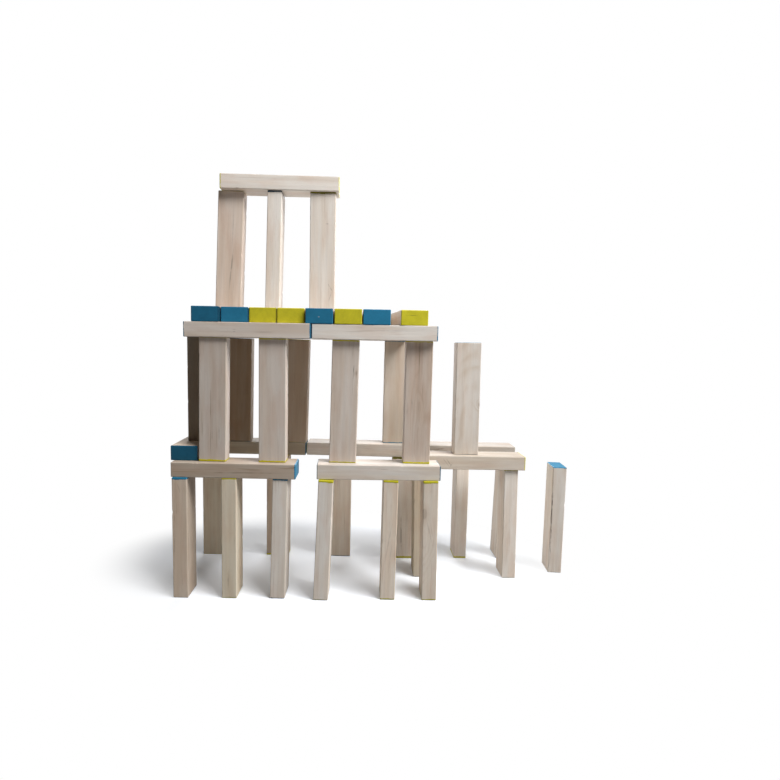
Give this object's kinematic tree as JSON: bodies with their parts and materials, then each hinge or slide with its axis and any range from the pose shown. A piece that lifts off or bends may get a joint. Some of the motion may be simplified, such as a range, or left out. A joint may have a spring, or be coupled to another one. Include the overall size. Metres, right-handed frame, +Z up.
{
  "type": "tumbling tower game",
  "caption": "Loose wooden blocks with painted ends, built up as a house of posts, beams, a plank deck and a small tower.",
  "frame": {"origin": "on the floor, at the middle of the box around the whole layout", "axes": "+Z up, +X to the right along the rows as seen from the front, +Y from the front row to the rear row"},
  "size_m": [0.5764, 0.1882, 0.575],
  "materials": {
    "wood_blue_ends": "bare sanded wood, with matte blue paint on both ends",
    "wood_lime_ends": "bare sanded wood, with matte yellow-green paint on both ends"
  },
  "bodies": {
    "front_post_1": {"front_post_1": "wood_blue_ends"},
    "front_post_2": {"front_post_2": "wood_lime_ends"},
    "front_post_3": {"front_post_3": "wood_blue_ends"},
    "front_post_4": {"front_post_4": "wood_lime_ends"},
    "front_post_5": {"front_post_5": "wood_lime_ends"},
    "front_post_6": {"front_post_6": "wood_lime_ends"},
    "rear_post_1": {"rear_post_1": "wood_lime_ends"},
    "rear_post_2": {"rear_post_2": "wood_lime_ends"},
    "rear_post_3": {"rear_post_3": "wood_blue_ends"},
    "rear_post_4": {"rear_post_4": "wood_lime_ends"},
    "rear_post_5": {"rear_post_5": "wood_lime_ends"},
    "rear_post_6": {"rear_post_6": "wood_blue_ends"},
    "side_post_1": {"side_post_1": "wood_lime_ends"},
    "side_post_2": {"side_post_2": "wood_lime_ends"},
    "lone_post": {"lone_post": "wood_blue_ends"},
    "front_beam_left": {"front_beam_left": "wood_blue_ends"},
    "front_beam_middle": {"front_beam_middle": "wood_blue_ends"},
    "rear_beam_left": {"rear_beam_left": "wood_blue_ends"},
    "rear_beam_middle": {"rear_beam_middle": "wood_lime_ends"},
    "rear_beam_right": {"rear_beam_right": "wood_lime_ends"},
    "side_beam": {"side_beam": "wood_lime_ends"},
    "cross_plank": {"cross_plank": "wood_blue_ends"},
    "upper_front_post_1": {"upper_front_post_1": "wood_lime_ends"},
    "upper_front_post_2": {"upper_front_post_2": "wood_lime_ends"},
    "upper_front_post_3": {"upper_front_post_3": "wood_lime_ends"},
    "upper_front_post_4": {"upper_front_post_4": "wood_lime_ends"},
    "upper_rear_post_1": {"upper_rear_post_1": "wood_blue_ends"},
    "upper_rear_post_2": {"upper_rear_post_2": "wood_lime_ends"},
    "upper_rear_post_3": {"upper_rear_post_3": "wood_blue_ends"},
    "corner_post": {"corner_post": "wood_lime_ends"},
    "side_upper_post": {"side_upper_post": "wood_blue_ends"},
    "deck_beam_front_left": {"deck_beam_front_left": "wood_blue_ends"},
    "deck_beam_front_right": {"deck_beam_front_right": "wood_blue_ends"},
    "deck_beam_rear_left": {"deck_beam_rear_left": "wood_lime_ends"},
    "deck_beam_rear_right": {"deck_beam_rear_right": "wood_blue_ends"},
    "deck_plank_1": {"deck_plank_1": "wood_blue_ends"},
    "deck_plank_2": {"deck_plank_2": "wood_blue_ends"},
    "deck_plank_3": {"deck_plank_3": "wood_lime_ends"},
    "deck_plank_4": {"deck_plank_4": "wood_lime_ends"},
    "deck_plank_5": {"deck_plank_5": "wood_blue_ends"},
    "deck_plank_6": {"deck_plank_6": "wood_lime_ends"},
    "deck_plank_7": {"deck_plank_7": "wood_blue_ends"},
    "deck_plank_8": {"deck_plank_8": "wood_lime_ends"},
    "tower_post_1": {"tower_post_1": "wood_lime_ends"},
    "tower_post_2": {"tower_post_2": "wood_blue_ends"},
    "tower_post_3": {"tower_post_3": "wood_lime_ends"},
    "top_beam": {"top_beam": "wood_lime_ends"}
  },
  "joints": [
    {"name": "front_post_1_slide", "type": "slide", "parent": "front_post_2", "child": "front_post_1", "axis": [0, -1, 0], "range_m": [0, 0.05]},
    {"name": "front_post_3_slide", "type": "slide", "parent": "front_post_2", "child": "front_post_3", "axis": [0, -1, 0], "range_m": [0, 0.05]},
    {"name": "front_post_4_slide", "type": "slide", "parent": "front_post_2", "child": "front_post_4", "axis": [0, -1, 0], "range_m": [0, 0.05]},
    {"name": "front_post_5_slide", "type": "slide", "parent": "front_post_2", "child": "front_post_5", "axis": [0, -1, 0], "range_m": [0, 0.05]},
    {"name": "front_post_6_slide", "type": "slide", "parent": "front_post_2", "child": "front_post_6", "axis": [0, -1, 0], "range_m": [0, 0.05]},
    {"name": "rear_post_1_slide", "type": "slide", "parent": "front_post_2", "child": "rear_post_1", "axis": [0, 1, 0], "range_m": [0, 0.05]},
    {"name": "rear_post_2_slide", "type": "slide", "parent": "front_post_2", "child": "rear_post_2", "axis": [0, 1, 0], "range_m": [0, 0.05]},
    {"name": "rear_post_3_slide", "type": "slide", "parent": "front_post_2", "child": "rear_post_3", "axis": [0, 1, 0], "range_m": [0, 0.05]},
    {"name": "rear_post_4_slide", "type": "slide", "parent": "front_post_2", "child": "rear_post_4", "axis": [0, 1, 0], "range_m": [0, 0.05]},
    {"name": "rear_post_5_slide", "type": "slide", "parent": "front_post_2", "child": "rear_post_5", "axis": [0, 1, 0], "range_m": [0, 0.05]},
    {"name": "rear_post_6_slide", "type": "slide", "parent": "front_post_2", "child": "rear_post_6", "axis": [0, 1, 0], "range_m": [0, 0.05]},
    {"name": "side_post_1_slide", "type": "slide", "parent": "front_post_2", "child": "side_post_1", "axis": [-1, 0, 0], "range_m": [0, 0.03]},
    {"name": "side_post_2_slide", "type": "slide", "parent": "front_post_2", "child": "side_post_2", "axis": [0, -1, 0], "range_m": [0, 0.05]},
    {"name": "lone_post_slide", "type": "slide", "parent": "front_post_2", "child": "lone_post", "axis": [0, -1, 0], "range_m": [0, 0.1]},
    {"name": "front_beam_left_slide", "type": "slide", "parent": "front_post_2", "child": "front_beam_left", "axis": [0, -1, 0], "range_m": [0, 0.05]},
    {"name": "front_beam_middle_slide", "type": "slide", "parent": "front_post_2", "child": "front_beam_middle", "axis": [0, -1, 0], "range_m": [0, 0.05]},
    {"name": "rear_beam_left_slide", "type": "slide", "parent": "front_post_2", "child": "rear_beam_left", "axis": [0, 1, 0], "range_m": [0, 0.05]},
    {"name": "rear_beam_middle_slide", "type": "slide", "parent": "front_post_2", "child": "rear_beam_middle", "axis": [0, 1, 0], "range_m": [0, 0.05]},
    {"name": "rear_beam_right_slide", "type": "slide", "parent": "front_post_2", "child": "rear_beam_right", "axis": [0, 1, 0], "range_m": [0, 0.05]},
    {"name": "side_beam_slide", "type": "slide", "parent": "front_post_2", "child": "side_beam", "axis": [1, 0, 0], "range_m": [0, 0.17]},
    {"name": "cross_plank_slide", "type": "slide", "parent": "front_post_2", "child": "cross_plank", "axis": [0, -1, 0], "range_m": [0, 0.17]},
    {"name": "upper_front_post_1_slide", "type": "slide", "parent": "front_post_2", "child": "upper_front_post_1", "axis": [0, -1, 0], "range_m": [0, 0.05]},
    {"name": "upper_front_post_2_slide", "type": "slide", "parent": "front_post_2", "child": "upper_front_post_2", "axis": [0, -1, 0], "range_m": [0, 0.05]},
    {"name": "upper_front_post_3_slide", "type": "slide", "parent": "front_post_2", "child": "upper_front_post_3", "axis": [0, -1, 0], "range_m": [0, 0.05]},
    {"name": "upper_front_post_4_slide", "type": "slide", "parent": "front_post_2", "child": "upper_front_post_4", "axis": [0, -1, 0], "range_m": [0, 0.05]},
    {"name": "upper_rear_post_1_slide", "type": "slide", "parent": "front_post_2", "child": "upper_rear_post_1", "axis": [0, 1, 0], "range_m": [0, 0.05]},
    {"name": "upper_rear_post_2_slide", "type": "slide", "parent": "front_post_2", "child": "upper_rear_post_2", "axis": [0, 1, 0], "range_m": [0, 0.05]},
    {"name": "upper_rear_post_3_slide", "type": "slide", "parent": "front_post_2", "child": "upper_rear_post_3", "axis": [0, 1, 0], "range_m": [0, 0.05]},
    {"name": "corner_post_slide", "type": "slide", "parent": "front_post_2", "child": "corner_post", "axis": [-1, 0, 0], "range_m": [0, 0.05]},
    {"name": "side_upper_post_slide", "type": "slide", "parent": "front_post_2", "child": "side_upper_post", "axis": [0, -1, 0], "range_m": [0, 0.05]},
    {"name": "deck_beam_front_left_slide", "type": "slide", "parent": "front_post_2", "child": "deck_beam_front_left", "axis": [0, -1, 0], "range_m": [0, 0.05]},
    {"name": "deck_beam_front_right_slide", "type": "slide", "parent": "front_post_2", "child": "deck_beam_front_right", "axis": [0, -1, 0], "range_m": [0, 0.05]},
    {"name": "deck_beam_rear_left_slide", "type": "slide", "parent": "front_post_2", "child": "deck_beam_rear_left", "axis": [0, 1, 0], "range_m": [0, 0.05]},
    {"name": "deck_beam_rear_right_slide", "type": "slide", "parent": "front_post_2", "child": "deck_beam_rear_right", "axis": [0, 1, 0], "range_m": [0, 0.05]},
    {"name": "deck_plank_1_slide", "type": "slide", "parent": "front_post_2", "child": "deck_plank_1", "axis": [0, -1, 0], "range_m": [0, 0.17]},
    {"name": "deck_plank_2_slide", "type": "slide", "parent": "front_post_2", "child": "deck_plank_2", "axis": [0, -1, 0], "range_m": [0, 0.17]},
    {"name": "deck_plank_3_slide", "type": "slide", "parent": "front_post_2", "child": "deck_plank_3", "axis": [0, -1, 0], "range_m": [0, 0.17]},
    {"name": "deck_plank_4_slide", "type": "slide", "parent": "front_post_2", "child": "deck_plank_4", "axis": [0, -1, 0], "range_m": [0, 0.17]},
    {"name": "deck_plank_5_slide", "type": "slide", "parent": "front_post_2", "child": "deck_plank_5", "axis": [0.0061, -1, 0], "range_m": [0, 0.17]},
    {"name": "deck_plank_6_slide", "type": "slide", "parent": "front_post_2", "child": "deck_plank_6", "axis": [0.0133, -0.9999, 0], "range_m": [0, 0.17]},
    {"name": "deck_plank_7_slide", "type": "slide", "parent": "front_post_2", "child": "deck_plank_7", "axis": [0.0182, -0.9998, 0], "range_m": [0, 0.17]},
    {"name": "deck_plank_8_slide", "type": "slide", "parent": "front_post_2", "child": "deck_plank_8", "axis": [0.0945, -0.9955, 0], "range_m": [0, 0.17]},
    {"name": "tower_post_1_slide", "type": "slide", "parent": "front_post_2", "child": "tower_post_1", "axis": [0, -1, 0], "range_m": [0, 0.05]},
    {"name": "tower_post_2_slide", "type": "slide", "parent": "front_post_2", "child": "tower_post_2", "axis": [0, -1, 0], "range_m": [0, 0.05]},
    {"name": "tower_post_3_slide", "type": "slide", "parent": "front_post_2", "child": "tower_post_3", "axis": [0, -1, 0], "range_m": [0, 0.05]},
    {"name": "top_beam_lift", "type": "slide", "parent": "front_post_2", "child": "top_beam", "axis": [0, 0, 1], "range_m": [0, 0.08]}
  ]
}
